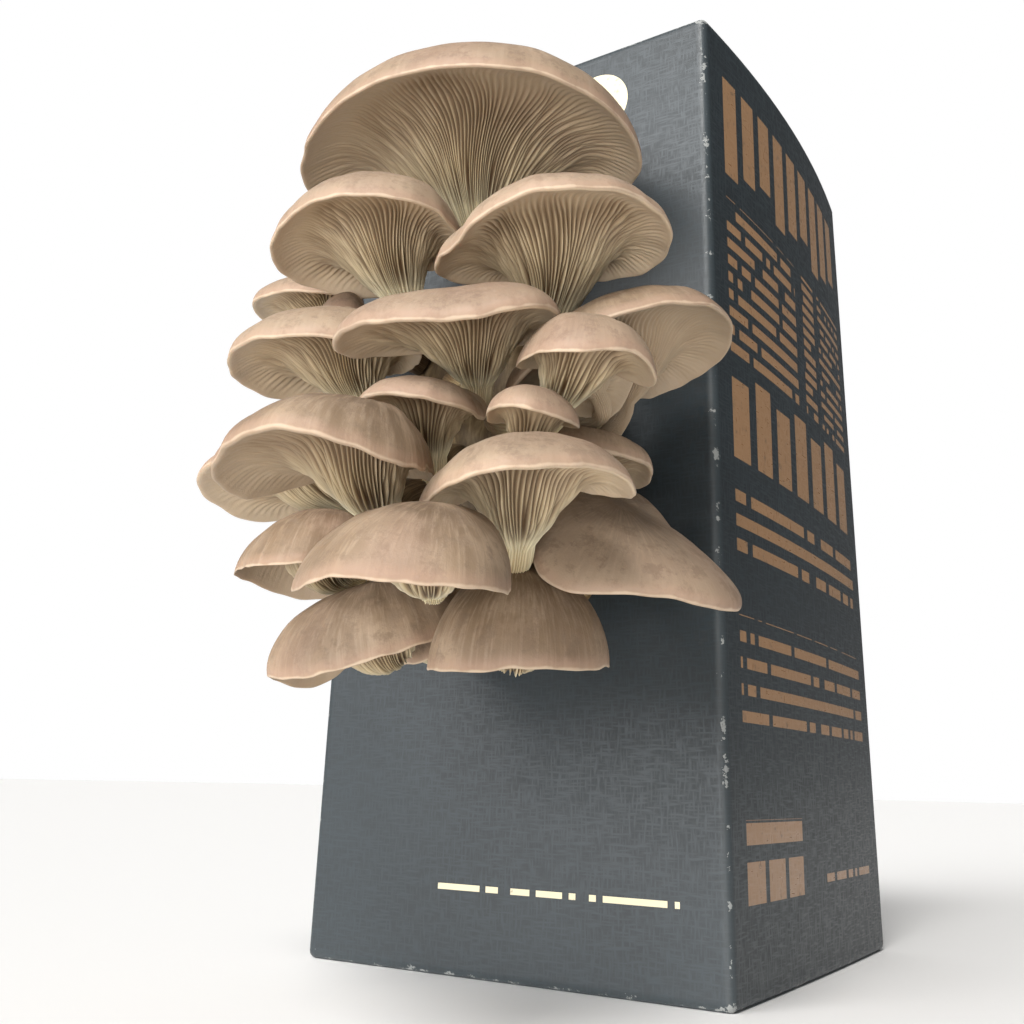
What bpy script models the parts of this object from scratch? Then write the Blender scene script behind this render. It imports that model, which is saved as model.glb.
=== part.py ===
# Oyster mushroom grow kit: a folded carton with a window, a bag of substrate inside it,
# and a cluster of oyster mushrooms growing out through the window.
#
# Frame: metres, +Z up, origin in the middle of the carton's underside, the window towards -Y
# and +X to the right of somebody who faces the window.

import math

import bmesh
import bpy
from mathutils import Quaternion, Vector

MM = 0.001

# Carton, in millimetres
CARTON_WIDTH = 100.0
CARTON_DEPTH = 102.0
CARTON_HEIGHT = 210.0
BOARD = 1.6                     # thickness of the laminated board
EDGE_ROUNDING = 1.5             # fold radius of the board's outer edges
SIDE_BOW_TOP = 3.5              # how far a side panel bulges at its top edge
SIDE_BOW_FOOT = 0.6             # and at its bottom edge
BOW_LINES_Y = (-34.0, -17.0, 0.0, 17.0, 34.0)
BOW_LINES_Z = (52.0, 105.0, 158.0)

# Window in the front panel
WINDOW_WIDTH = 48.0
WINDOW_FOOT = 70.0
WINDOW_HEAD = 142.0
WINDOW_CORNER = 14.0
CORNER_SEGMENTS = 4
CUT_MARGIN = 5.0                # how far the window's cutter reaches past the front on either side

# Bag of substrate
BAG_GAP = 1.9                   # air between the bag and the inner walls
BAG_HEIGHT = 176.0
BAG_ROUNDING = 9.0
BAG_BASE_GAP = 0.4

# Shared base of the cluster, an ellipsoid that reaches in through the window, cut flat at the bag
CLUMP_BACK = -48.2
CLUMP_CENTRE = Vector((1.0, -60.0, 106.0))
CLUMP_RADII = Vector((26.0, 16.0, 39.0))
CLUMP_CLEARANCE = 0.5           # between the clump and the foot of a stem
CLUMP_SEGMENTS = 20
CLUMP_RINGS = 14

# Mushrooms: one closed body each, from the top of the cap round the rim to the foot of the stem
AROUND = 16
TOP_RINGS = (0.45, 0.75, 0.92, 1.0)
GILL_RINGS = (0.05, 0.35, 0.62, 0.82, 1.0)
STEM_RINGS = (0.5, 1.0)
DOME_SPREAD = 2.3               # larger keeps the top flat for longer
DOME_SHARE = 0.8                # the solids are a little flatter, so neighbours keep clear
DOME_EDGE = 0.55                # smaller turns the edge down more steeply
GILL_FLARE = 3.0                # larger keeps the gills level for longer before the stem
GILL_VAULT = 0.3                # how far the gills rise into the dome, as a share of it
GILL_TURN = 0.45                # where between rim and stem the gills start to turn to the stem
VAULT_PEAK = 27.0 / 4.0         # brings the vault's curve to a height of one
LIP_THICKNESS = 0.8
LIP_TURN = 20.0                 # larger turns the rim over more sharply
STEM_SLANT = 1.0                # how strongly a stem heads for its root straight from the cap
HOODED_VAULT = 0.6              # the vault of the low caps, whose fronts hang over their stems
STEM_BEND = 0.35                # share of its length over which a stem keeps its first direction

# Each mushroom, in millimetres and degrees.
# hub: middle of the gills, level with the rim; face: compass turn of the cap's front, 0 is -Y and
# 90 is +X; tilt: how far the front dips; lean: how far the right side dips; reach: rim radius at
# every 45 degrees from the front round by the right; lift: rim height at the same places;
# root: x and z where the stem leaves the clump; drop: depth of the gills' funnel; slant: only for
# caps that hang over their stems, how strongly the stem heads for its root.
MUSHROOMS = {
    "mushroom_top": dict(
        hub=(3, -74, 168), face=16, tilt=-1, lean=3, dome=19, drop=15, stem=4.5, root=(6, 139),
        reach=(40, 41, 38, 23, 14, 25, 39, 38), lift=(-1, 1, -1, -1, 0, -1, -2, -3)),
    "mushroom_upper_left": dict(
        hub=(-3, -94, 142), face=4, tilt=-1, lean=-2, dome=12, drop=11, stem=3.5, root=(-4, 130),
        reach=(24, 23, 17, 13, 8, 17, 25, 24), lift=(-1, -2, -2, -1, -1, -2, -1, -2)),
    "mushroom_upper_right": dict(
        hub=(33, -88, 135), face=21, tilt=3, lean=-5, dome=9, drop=13, stem=4, root=(15, 130),
        reach=(27, 25, 22, 16, 11, 15, 23, 23), lift=(-1, 0, -2, -2, 0, 0, -1, -3)),
    "mushroom_far_left": dict(
        hub=(-40, -75, 145), face=1, tilt=4, lean=-1, dome=7, drop=7, stem=3, root=(-12, 127),
        reach=(15, 15, 12, 9, 7, 10, 16, 16), lift=(-1, -2, -1, 0, 0, 0, 0, 0)),
    "mushroom_middle_left": dict(
        hub=(-11, -94, 118), face=-8, tilt=3, lean=1, dome=10, drop=8, stem=3.5, root=(-11, 106),
        reach=(24, 22, 18, 12, 8, 14, 25, 25), lift=(-1, -2, 0, 0, 0, 0, -2, -1)),
    "mushroom_arched": dict(
        hub=(-23, -84, 132), face=-1, tilt=-2, lean=-4, dome=8, drop=5, stem=2.5, root=(-15, 116),
        reach=(8, 9, 7, 5, 5, 6, 10, 7), lift=(0, 1, -1, 0, 0, 0, 0, 0)),
    "mushroom_centre": dict(
        hub=(26, -103, 113), face=22, tilt=12, lean=-4, dome=8, drop=9, stem=3, root=(4, 116),
        reach=(21, 20, 15, 12, 8, 14, 25, 24), lift=(-1, 1, 0, 0, 0, 1, 0, 1)),
    "mushroom_right_wing": dict(
        hub=(40, -71, 117), face=20, tilt=-1, lean=-18, dome=10, drop=8, stem=2, root=(25, 100),
        reach=(26, 24, 20, 14, 9, 10, 24, 26), lift=(-2, -2, -3, -4, -4, -1, -1, -3)),
    "mushroom_right_inner": dict(
        hub=(40, -85, 107), face=45, tilt=-34, lean=-30, dome=4, drop=6, stem=1.6, root=(23, 107),
        reach=(10, 9, 8, 6, 5, 5, 8, 10), lift=(0, 1, 0, -2, -1, -1, 0, 0), slant=0.6),
    "mushroom_centre_right": dict(
        hub=(45, -102, 105), face=28, tilt=6, lean=8, dome=8, drop=8, stem=3, root=(13, 107),
        reach=(14, 15, 14, 9, 6, 8, 9, 10), lift=(-2, 0, -2, 1, 0, 0, -2, -2)),
    "mushroom_small_centre": dict(
        hub=(20, -107, 99), face=6, tilt=3, lean=8, dome=5, drop=9, stem=2.5, root=(4, 101),
        reach=(15, 13, 10, 9, 6, 9, 14, 13), lift=(-1, -1, -1, 2, 0, 0, 0, -1)),
    "mushroom_small_right": dict(
        hub=(41, -108, 94), face=20, tilt=8, lean=6, dome=5, drop=6, stem=2.5, root=(12, 97),
        reach=(10, 9, 8, 6, 5, 6, 7, 8), lift=(0, -1, -1, 0, 0, 0, -1, 0)),
    "mushroom_large_left": dict(
        hub=(22, -124, 85), face=-42, tilt=2, lean=5, dome=9, drop=10, stem=3.5, root=(-6, 94),
        reach=(24, 22, 17, 10, 8, 16, 27, 25), lift=(-2, 1, -3, -2, 0, 0, 3, -4)),
    "mushroom_under_left": dict(
        hub=(-22, -86, 97), face=-6, tilt=-2, lean=-8, dome=7, drop=7, stem=3, root=(-15, 96),
        reach=(23, 22, 16, 10, 8, 13, 24, 27), lift=(0, 0, 0, 0, 0, 1, -2, 0)),
    "mushroom_large_centre": dict(
        hub=(41, -111, 82), face=19, tilt=5, lean=-3, dome=7, drop=11, stem=3, root=(11, 87),
        reach=(21, 20, 18, 12, 8, 13, 16, 16), lift=(-2, -1, -3, 0, 2, 1, -3, -3)),
    "mushroom_small_side": dict(
        hub=(33, -75, 96), face=38, tilt=2, lean=11, dome=6, drop=6, stem=2.5, root=(21, 97),
        reach=(15, 14, 12, 9, 7, 9, 12, 14), lift=(-1, 0, -1, -1, 0, 0, 0, 0)),
    "mushroom_right_low": dict(
        hub=(40, -81, 80), face=57, tilt=39, lean=7, dome=7, drop=9, stem=3.5, root=(17, 86),
        reach=(24, 27, 22, 17, 11, 13, 15, 22), lift=(2, 1, -3, 3, 2, 0, 0, -4), slant=1.8),
    "mushroom_far_low_left": dict(
        hub=(-15, -92, 76), face=-31, tilt=-3, lean=-1, dome=12, drop=11, stem=1.8, root=(-13, 86),
        reach=(17, 19, 16, 10, 8, 12, 19, 19), lift=(-2, -3, -1, 0, 0, -1, -2, -1), slant=1.2),
    "mushroom_low_left": dict(
        hub=(36, -126, 66), face=6, tilt=9, lean=9, dome=10, drop=5, stem=2.4, root=(2, 88),
        reach=(20, 19, 13, 10, 8, 12, 19, 19), lift=(-1, -1, -1, 1, 0, -2, -2, -4), slant=0.8),
    "mushroom_bottom_left": dict(
        hub=(0, -89, 61), face=1, tilt=13, lean=-9, dome=13, drop=7, stem=1.8, root=(-7, 77),
        reach=(21, 20, 18, 11, 8, 11, 19, 23), lift=(-2, -1, 0, 0, 0, 0, -3, 0), slant=1.2),
    "mushroom_bottom_right": dict(
        hub=(29, -92, 59), face=37, tilt=18, lean=0, dome=15, drop=5, stem=1.8, root=(10, 78),
        reach=(18, 17, 15, 11, 7, 11, 14, 18), lift=(1, 0, -1, 0, 0, -1, -2, -1), slant=1.2),
    "mushroom_bottom_small": dict(
        hub=(-9, -68, 64), face=-6, tilt=30, lean=-6, dome=4, drop=7, stem=1.8, root=(1, 75),
        reach=(8, 8, 7, 6, 5, 6, 7, 8), lift=(0, -1, 0, 0, 0, 0, 1, 1), slant=0.8),
}


def remove_everything():
    for old in list(bpy.data.objects):
        bpy.data.objects.remove(old, do_unlink=True)


def make_material(name, colour, roughness, metallic=0.0):
    material = bpy.data.materials.new(name)
    material.use_nodes = True
    shader = material.node_tree.nodes["Principled BSDF"]
    shader.inputs["Base Color"].default_value = (*colour, 1.0)
    shader.inputs["Roughness"].default_value = roughness
    shader.inputs["Metallic"].default_value = metallic
    return material


def add_object(name, bm, material, smooth_angle=None, find_outside=True):
    mesh = bpy.data.meshes.new(name)
    if find_outside:
        bmesh.ops.recalc_face_normals(bm, faces=bm.faces)
    bm.to_mesh(mesh)
    bm.free()
    if smooth_angle is not None:
        mesh.shade_smooth()
        mesh.set_sharp_from_angle(angle=math.radians(smooth_angle))
    item = bpy.data.objects.new(name, mesh)
    bpy.context.scene.collection.objects.link(item)
    if material is not None:
        mesh.materials.append(material)
    return item


def add_cutter(name, bm):
    cutter = add_object(name, bm, None)
    cutter.hide_render = True
    cutter.display_type = "WIRE"
    return cutter


def cut(item, cutter):
    modifier = item.modifiers.new("Cut " + cutter.name, "BOOLEAN")
    modifier.operation = "DIFFERENCE"
    modifier.solver = "EXACT"
    modifier.object = cutter


def side_bow(y, z):
    """How far a side panel stands out at depth y and height z, in metres."""
    along = 1.0 - (y / (CARTON_DEPTH * MM / 2.0)) ** 2
    rise = z / (CARTON_HEIGHT * MM)
    return max(along, 0.0) * MM * (SIDE_BOW_FOOT + (SIDE_BOW_TOP - SIDE_BOW_FOOT) * rise)


def bowed_box(width, depth, foot, head, rounding):
    """A box whose two side panels bulge, in millimetres, centred on X and Y."""
    bm = bmesh.new()
    bmesh.ops.create_cube(bm, size=1.0)
    size = Vector((width, depth, head - foot)) * MM
    bmesh.ops.scale(bm, vec=size, verts=bm.verts)
    bmesh.ops.translate(bm, vec=(0.0, 0.0, (foot + head) * MM / 2.0), verts=bm.verts)
    if rounding > 0.0:
        bmesh.ops.bevel(
            bm, geom=bm.edges[:], offset=rounding * MM, segments=2, profile=0.5,
            affect="EDGES", material=-1)
    for y in BOW_LINES_Y:
        slice_at(bm, (0.0, y * MM, 0.0), (0.0, 1.0, 0.0))
    for z in BOW_LINES_Z:
        slice_at(bm, (0.0, 0.0, z * MM), (0.0, 0.0, 1.0))
    for vert in bm.verts:
        share = vert.co.x / (width * MM / 2.0)
        vert.co.x += share * side_bow(vert.co.y, vert.co.z)
    return bm


def slice_at(bm, point, normal):
    geometry = bm.verts[:] + bm.edges[:] + bm.faces[:]
    bmesh.ops.bisect_plane(bm, geom=geometry, plane_co=point, plane_no=normal)


def rounded_slot(width, foot, head, corner, depth):
    """A rounded rectangle in the XZ plane, extruded along Y through the front panel."""
    bm = bmesh.new()
    half = width / 2.0 - corner
    corners = ((half, head - corner, 0), (-half, head - corner, 90),
               (-half, foot + corner, 180), (half, foot + corner, 270))
    rim = []
    for x, z, start in corners:
        for step in range(CORNER_SEGMENTS + 1):
            angle = math.radians(start + 90.0 * step / CORNER_SEGMENTS)
            place = (x + corner * math.cos(angle), -depth, z + corner * math.sin(angle))
            rim.append(bm.verts.new(Vector(place) * MM))
    face = bm.faces.new(rim)
    wall = bmesh.ops.extrude_face_region(bm, geom=[face])
    moved = [piece for piece in wall["geom"] if isinstance(piece, bmesh.types.BMVert)]
    bmesh.ops.translate(bm, vec=(0.0, 2.0 * (depth - CARTON_DEPTH / 2.0) * MM, 0.0), verts=moved)
    return bm


def make_carton():
    board = make_material("slate_board", (0.065, 0.080, 0.088), 0.55)
    carton = add_object(
        "carton", bowed_box(CARTON_WIDTH, CARTON_DEPTH, 0.0, CARTON_HEIGHT, EDGE_ROUNDING), board)
    cavity = bowed_box(
        CARTON_WIDTH - 2.0 * BOARD, CARTON_DEPTH - 2.0 * BOARD, BOARD, CARTON_HEIGHT - BOARD, 0.0)
    cut(carton, add_cutter("cavity_cutter", cavity))
    through = CARTON_DEPTH / 2.0 + CUT_MARGIN
    window = rounded_slot(WINDOW_WIDTH, WINDOW_FOOT, WINDOW_HEAD, WINDOW_CORNER, through)
    cut(carton, add_cutter("window_cutter", window))


def bag_front():
    return CARTON_DEPTH / 2.0 - BOARD - BAG_GAP


def make_bag():
    """The filled bag is a soft block that reaches nearly to the carton's walls."""
    film = make_material("bag_film", (0.72, 0.68, 0.58), 0.35)
    bm = bmesh.new()
    bmesh.ops.create_cube(bm, size=1.0)
    foot = BOARD + BAG_BASE_GAP
    width = CARTON_WIDTH - 2.0 * (BOARD + BAG_GAP)
    size = Vector((width, 2.0 * bag_front(), BAG_HEIGHT)) * MM
    bmesh.ops.scale(bm, vec=size, verts=bm.verts)
    bmesh.ops.translate(bm, vec=(0.0, 0.0, (foot + BAG_HEIGHT / 2.0) * MM), verts=bm.verts)
    bmesh.ops.bevel(
        bm, geom=bm.edges[:], offset=BAG_ROUNDING * MM, segments=3, profile=0.5,
        affect="EDGES", material=-1)
    add_object("grow_bag", bm, film, 40.0)


def make_clump():
    """An ellipsoid, flat where it grows from the bag, with every stem standing on its round side."""
    flesh = make_material("clump_flesh", (0.70, 0.62, 0.46), 0.7)
    bm = bmesh.new()
    bmesh.ops.create_uvsphere(bm, u_segments=CLUMP_SEGMENTS, v_segments=CLUMP_RINGS, radius=1.0)
    bmesh.ops.scale(bm, vec=CLUMP_RADII * MM, verts=bm.verts)
    bmesh.ops.translate(bm, vec=CLUMP_CENTRE * MM, verts=bm.verts)
    geometry = bm.verts[:] + bm.edges[:] + bm.faces[:]
    result = bmesh.ops.bisect_plane(
        bm, geom=geometry, dist=1e-6, plane_co=(0.0, CLUMP_BACK * MM, 0.0), plane_no=(0.0, 1.0, 0.0),
        clear_outer=True)
    rim = [piece for piece in result["geom_cut"] if isinstance(piece, bmesh.types.BMEdge)]
    bmesh.ops.edgeloop_fill(bm, edges=rim)
    add_object("clump_base", bm, flesh, 40.0)


def clump_point(x, z, clearance=0.0):
    """The point of the clump's surface at x and z, and the surface's outward direction there."""
    radii = CLUMP_RADII + Vector((clearance, clearance, clearance))
    across = (x - CLUMP_CENTRE.x) / radii.x
    up = (z - CLUMP_CENTRE.z) / radii.z
    out = math.sqrt(max(1.0 - across * across - up * up, 0.02))
    point = Vector((x, CLUMP_CENTRE.y - radii.y * out, z))
    normal = Vector((across / radii.x, -out / radii.y, up / radii.z)).normalized()
    return point, normal


def around_rim(values, angle):
    """A smooth closed curve through values that stand at equal steps round the rim."""
    count = len(values)
    place = (angle / math.tau) % 1.0 * count
    first = int(place)
    t = place - first
    p0, p1, p2, p3 = (values[(first + step) % count] for step in (-1, 0, 1, 2))
    bend = (p2 - p0) * t + (2 * p0 - 5 * p1 + 4 * p2 - p3) * t * t + (3 * p1 - p0 - 3 * p2 + p3) * t ** 3
    return p1 + 0.5 * bend


def cap_axes(face, tilt, lean):
    """Front, right and up directions of a cap."""
    turn, dip, roll = (math.radians(angle) for angle in (face, tilt, lean))
    level = Vector((math.sin(turn), -math.cos(turn), 0.0))
    right = Vector((math.cos(turn), math.sin(turn), 0.0))
    up = Vector((0.0, 0.0, 1.0))
    front = level * math.cos(dip) - up * math.sin(dip)
    up = up * math.cos(dip) + level * math.sin(dip)
    tilted_right = right * math.cos(roll) - up * math.sin(roll)
    up = up * math.cos(roll) + right * math.sin(roll)
    return front, tilted_right, up


def bezier(points, t):
    """Point and direction on a cubic curve."""
    a, b, c, d = points
    s = 1.0 - t
    place = a * s ** 3 + b * (3 * s * s * t) + c * (3 * s * t * t) + d * t ** 3
    heading = (b - a) * (3 * s * s) + (c - b) * (6 * s * t) + (d - c) * (3 * t * t)
    return place, heading.normalized()


def smooth_step(x):
    x = min(max(x, 0.0), 1.0)
    return x * x * (3.0 - 2.0 * x)


class Mushroom:
    """One mushroom's surface, as rings that run from the top of the cap to the foot of the stem."""

    def __init__(self, spec):
        self.spec = spec
        self.dome = spec["dome"] * DOME_SHARE
        self.hub = Vector(spec["hub"])
        self.front, self.right, self.up = cap_axes(spec["face"], spec["tilt"], spec["lean"])
        foot, outward = clump_point(*spec["root"], CLUMP_CLEARANCE)
        towards = (foot - self.hub).normalized()
        self.vault = self.dome * (HOODED_VAULT if "slant" in spec else GILL_VAULT)
        self.heading = (towards * spec.get("slant", STEM_SLANT) - self.up).normalized()
        self.turn_axis = self.up.cross(-self.heading).normalized()
        self.turn_angle = self.up.angle(-self.heading)
        neck = self.hub + self.heading * spec["drop"]
        span = (foot - neck).length
        bend = span * STEM_BEND
        self.curve = (neck, neck + self.heading * bend, foot + outward * bend, foot)

    def on_top(self, share, angle):
        radius = around_rim(self.spec["reach"], angle) * share
        lift = around_rim(self.spec["lift"], angle) * share * share
        height = lift + self.dome * (1.0 - share ** DOME_SPREAD) ** DOME_EDGE
        return self.place(self.hub, self.front, self.right, radius, angle) + self.up * height

    def under(self, share, angle):
        """share runs from 0 at the rim to 1 where the gills have become the stem."""
        rim = around_rim(self.spec["reach"], angle)
        lift = around_rim(self.spec["lift"], angle)
        radius = self.spec["stem"] + (rim - self.spec["stem"]) * (1.0 - share)
        centre = self.hub + self.heading * (self.spec["drop"] * share ** GILL_FLARE)
        turn = smooth_step((share - GILL_TURN) / (1.0 - GILL_TURN))
        front, right, up = self.turned(Quaternion(self.turn_axis, self.turn_angle * turn))
        vault = self.vault * VAULT_PEAK * share * (1.0 - share) ** 2
        lip = LIP_THICKNESS * smooth_step(share * LIP_TURN) * (1.0 - share)
        height = lift * (1.0 - share) ** 2 + vault - lip
        return self.place(centre, front, right, radius, angle) + up * height

    def on_stem(self, share, angle):
        """share runs from 0 at the gills to 1 at the foot."""
        centre, heading = bezier(self.curve, share)
        neck_turn = Quaternion(self.turn_axis, self.turn_angle)
        front, right, _ = self.turned(self.heading.rotation_difference(heading) @ neck_turn)
        return self.place(centre, front, right, self.spec["stem"], angle)

    def turned(self, rotation):
        """The cap's axes, turned."""
        return rotation @ self.front, rotation @ self.right, rotation @ self.up

    @staticmethod
    def place(centre, front, right, radius, angle):
        return centre + front * (radius * math.cos(angle)) + right * (radius * math.sin(angle))

    def rings(self):
        steps = [(self.on_top, share) for share in TOP_RINGS]
        steps += [(self.under, share) for share in GILL_RINGS]
        steps += [(self.on_stem, share) for share in STEM_RINGS]
        return steps

    def build(self):
        steps = self.rings()
        bands = len(steps) + 1
        bm = bmesh.new()
        bmesh.ops.create_uvsphere(bm, u_segments=AROUND, v_segments=bands, radius=1.0)
        for vert in bm.verts:
            ring = round(math.acos(max(-1.0, min(1.0, vert.co.z))) / math.pi * bands)
            angle = math.atan2(vert.co.y, vert.co.x)
            if ring == 0:
                place = self.on_top(0.0, 0.0)
            elif ring == bands:
                place, _ = bezier(self.curve, 1.0)
            else:
                surface, share = steps[ring - 1]
                place = surface(share, angle)
            vert.co = place * MM
        return bm


def make_mushrooms():
    flesh = make_material("oyster_flesh", (0.45, 0.34, 0.26), 0.6)
    for name, spec in MUSHROOMS.items():
        add_object(name, Mushroom(spec).build(), flesh, 50.0, find_outside=False)


def main():
    remove_everything()
    make_carton()
    make_bag()
    make_clump()
    make_mushrooms()


main()
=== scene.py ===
# Looks of an oyster mushroom grow kit: a linen-embossed carton, the bag of substrate inside it,
# and a cluster of oyster mushrooms with modelled gills growing out through the carton's window.

import math

import bmesh
import bpy
import numpy as np
from mathutils import Matrix, Vector


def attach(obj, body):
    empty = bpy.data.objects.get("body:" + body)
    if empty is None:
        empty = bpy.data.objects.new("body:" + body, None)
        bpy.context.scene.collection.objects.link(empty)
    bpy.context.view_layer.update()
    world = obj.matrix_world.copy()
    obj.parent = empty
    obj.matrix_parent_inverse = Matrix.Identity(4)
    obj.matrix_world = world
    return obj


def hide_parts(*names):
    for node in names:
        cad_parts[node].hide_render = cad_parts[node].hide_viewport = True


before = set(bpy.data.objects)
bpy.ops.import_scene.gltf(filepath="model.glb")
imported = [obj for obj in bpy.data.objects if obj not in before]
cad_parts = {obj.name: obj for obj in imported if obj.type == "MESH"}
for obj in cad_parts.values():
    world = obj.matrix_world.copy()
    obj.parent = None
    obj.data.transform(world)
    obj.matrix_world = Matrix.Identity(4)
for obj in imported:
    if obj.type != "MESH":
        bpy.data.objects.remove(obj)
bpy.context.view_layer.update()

mm = 0.001
print("frame loaded:", len(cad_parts), "solids")


# helpers for meshes and materials
def addPiece(name, mesh, materials, nodes, sharpAngle=None):
    piece = bpy.data.objects.new(name, mesh)
    bpy.context.scene.collection.objects.link(piece)
    for material in materials:
        mesh.materials.append(material)
    mesh.shade_smooth()
    if sharpAngle is not None:
        mesh.set_sharp_from_angle(angle=math.radians(sharpAngle))
    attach(piece, "root")
    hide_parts(*nodes)
    return piece


def meshFrom(bm, name):
    mesh = bpy.data.meshes.new(name)
    bm.to_mesh(mesh)
    bm.free()
    return mesh


def place(socket, value, tree):
    if isinstance(value, bpy.types.NodeSocket):
        tree.links.new(value, socket)
    elif value is not None:
        socket.default_value = value


def calc(tree, operation, a, b=None, c=None):
    node = tree.nodes.new("ShaderNodeMath")
    node.operation = operation
    for socket, value in zip(node.inputs, (a, b, c)):
        place(socket, value, tree)
    return node.outputs[0]


def between(tree, value, low, high, fromValue=0.0, toValue=1.0):
    # eases from one value to another while the input goes from low to high
    node = tree.nodes.new("ShaderNodeMapRange")
    node.interpolation_type = "SMOOTHSTEP"
    place(node.inputs["Value"], value, tree)
    for name, number in (("From Min", low), ("From Max", high), ("To Min", fromValue), ("To Max", toValue)):
        place(node.inputs[name], number, tree)
    return node.outputs["Result"]


def blend(tree, factor, a, b, way="MIX"):
    node = tree.nodes.new("ShaderNodeMix")
    node.data_type = "RGBA"
    node.blend_type = way
    place(node.inputs[0], factor, tree)
    place(node.inputs[6], a if isinstance(a, bpy.types.NodeSocket) else (*a, 1.0), tree)
    place(node.inputs[7], b if isinstance(b, bpy.types.NodeSocket) else (*b, 1.0), tree)
    return node.outputs[2]


def speckle(tree, vector, scale, detail=2.0, roughness=0.5, stretch=None, distortion=0.0):
    if stretch is not None:
        mapping = tree.nodes.new("ShaderNodeMapping")
        mapping.inputs["Scale"].default_value = stretch
        tree.links.new(vector, mapping.inputs["Vector"])
        vector = mapping.outputs["Vector"]
    node = tree.nodes.new("ShaderNodeTexNoise")
    tree.links.new(vector, node.inputs["Vector"])
    node.inputs["Scale"].default_value = scale
    node.inputs["Detail"].default_value = detail
    node.inputs["Roughness"].default_value = roughness
    node.inputs["Distortion"].default_value = distortion
    return node.outputs["Fac"]


def ramp(tree, factor, stops):
    node = tree.nodes.new("ShaderNodeValToRGB")
    while len(node.color_ramp.elements) < len(stops):
        node.color_ramp.elements.new(0.5)
    for element, (position, colour) in zip(node.color_ramp.elements, stops):
        element.position = position
        element.color = (*colour, 1.0)
    tree.links.new(factor, node.inputs["Fac"])
    return node.outputs["Color"]


def bump(tree, height, distance, strength=1.0):
    node = tree.nodes.new("ShaderNodeBump")
    node.inputs["Distance"].default_value = distance
    node.inputs["Strength"].default_value = strength
    tree.links.new(height, node.inputs["Height"])
    return node.outputs["Normal"]


def startMaterial(name, roughness=0.5):
    material = bpy.data.materials.new(name)
    material.use_nodes = True
    tree = material.node_tree
    shader = tree.nodes["Principled BSDF"]
    shader.inputs["Roughness"].default_value = roughness
    return material, tree, shader


def objectPlace(tree):
    return tree.nodes.new("ShaderNodeTexCoord").outputs["Object"]


def readAttribute(tree, name):
    node = tree.nodes.new("ShaderNodeAttribute")
    node.attribute_name = name
    return node


def fromSrgb(red, green, blue):
    return tuple(((v / 255.0 + 0.055) / 1.055) ** 2.4 for v in (red, green, blue))


carton = {
    "width": 100.0, "depth": 102.0, "height": 210.0, "board": 1.6, "rounding": 1.6,
    "bowTop": 3.5, "bowFoot": 0.6,
    "windowWidth": 48.0, "windowFoot": 70.0, "windowHead": 142.0, "windowCorner": 14.0,
    "boardColour": fromSrgb(39, 48, 53), "wornColour": fromSrgb(150, 152, 150),
    "printColour": fromSrgb(150, 116, 84), "creamColour": fromSrgb(226, 214, 178),
    "grain": 0.016, "roughness": 0.42,
}


def sideBow(y, z):
    along = 1.0 - (y / (carton["depth"] * mm / 2.0)) ** 2
    rise = z / (carton["height"] * mm)
    return max(along, 0.0) * mm * (carton["bowFoot"] + (carton["bowTop"] - carton["bowFoot"]) * rise)


def bowedBox(width, depth, foot, head, rounding, step):
    bm = bmesh.new()
    bmesh.ops.create_cube(bm, size=1.0)
    bmesh.ops.scale(bm, vec=Vector((width, depth, head - foot)) * mm, verts=bm.verts)
    bmesh.ops.translate(bm, vec=(0.0, 0.0, (foot + head) * mm / 2.0), verts=bm.verts)
    lines = {0: [], 1: [], 2: []}
    if rounding > 0.0:
        bmesh.ops.bevel(
            bm, geom=bm.edges[:], offset=rounding * mm, segments=4, profile=0.5, affect="EDGES", material=-1)
        for axis, (low, high) in enumerate(((-width / 2, width / 2), (-depth / 2, depth / 2), (foot, head))):
            lines[axis] += [low + rounding + 0.5, high - rounding - 0.5]  # support lines hold the folds tight
    for axis, (low, high) in ((1, (-depth / 2, depth / 2)), (2, (foot, head))):
        count = round((high - low) / step)
        lines[axis] += [low + (high - low) * k / count for k in range(1, count)]
    for axis, values in lines.items():
        normal = Vector((axis == 0, axis == 1, axis == 2))
        for value in values:
            geometry = bm.verts[:] + bm.edges[:] + bm.faces[:]
            bmesh.ops.bisect_plane(bm, geom=geometry, dist=1e-6, plane_co=normal * value * mm, plane_no=normal)
    for vert in bm.verts:
        vert.co.x += vert.co.x / (width * mm / 2.0) * sideBow(vert.co.y, vert.co.z)
    return bm


def windowPlug():
    bm = bmesh.new()
    bmesh.ops.create_cube(bm, size=1.0)
    height = carton["windowHead"] - carton["windowFoot"]
    bmesh.ops.scale(bm, vec=Vector((carton["windowWidth"], 20.0, height)) * mm, verts=bm.verts)
    middle = Vector((0.0, -carton["depth"] / 2.0, (carton["windowHead"] + carton["windowFoot"]) / 2.0))
    bmesh.ops.translate(bm, vec=middle * mm, verts=bm.verts)
    upright = [edge for edge in bm.edges if abs(edge.verts[0].co.y - edge.verts[1].co.y) > mm]
    bmesh.ops.bevel(
        bm, geom=upright, offset=carton["windowCorner"] * mm, segments=10, profile=0.5, affect="EDGES",
        material=-1)
    return bm


def subtract(base, cutters, name):
    # cuts helper shapes out of a base shape and gives back the finished mesh
    item = bpy.data.objects.new(name, meshFrom(base, name))
    bpy.context.scene.collection.objects.link(item)
    helpers = []
    for bm in cutters:
        helper = bpy.data.objects.new(name + "Cutter", meshFrom(bm, name + "Cutter"))
        bpy.context.scene.collection.objects.link(helper)
        modifier = item.modifiers.new("cut", "BOOLEAN")
        modifier.operation = "DIFFERENCE"
        modifier.solver = "EXACT"
        modifier.object = helper
        helpers.append(helper)
    finished = bpy.data.meshes.new_from_object(item.evaluated_get(bpy.context.evaluated_depsgraph_get()))
    for helper in helpers + [item]:
        bpy.data.objects.remove(helper, do_unlink=True)
    finished.name = name
    return finished


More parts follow.
